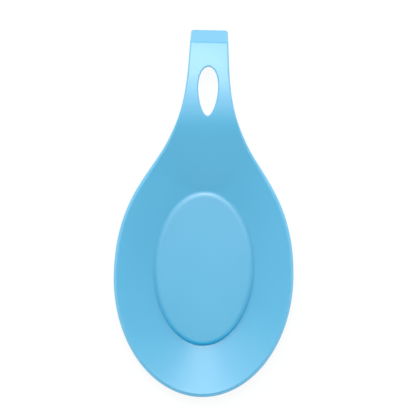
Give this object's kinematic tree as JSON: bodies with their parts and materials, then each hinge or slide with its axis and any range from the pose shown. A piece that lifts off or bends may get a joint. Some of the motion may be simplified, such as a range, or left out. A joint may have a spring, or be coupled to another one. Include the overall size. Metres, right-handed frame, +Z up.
{
  "type": "spoon rest",
  "caption": "Almond-shaped silicone spoon rest: shallow dish with a raised oval pad, an arched handle with a hanging slot, and a turned-down foot.",
  "frame": {"origin": "middle of the rest seen from above, on the surface that it stands on", "axes": "+Z up; +Y from the front of the dish towards the end of the handle; +X to the right, seen from above"},
  "size_m": [0.095, 0.195, 0.0199],
  "materials": {
    "silicone": "satin"
  },
  "bodies": {
    "root": {"spoon_pad": "silicone", "foot_ring": "silicone", "dish_wall": "silicone", "rim_edge": "silicone", "handle_neck": "silicone", "hanging_eye": "silicone", "tail_foot": "silicone"}
  },
  "joints": []
}
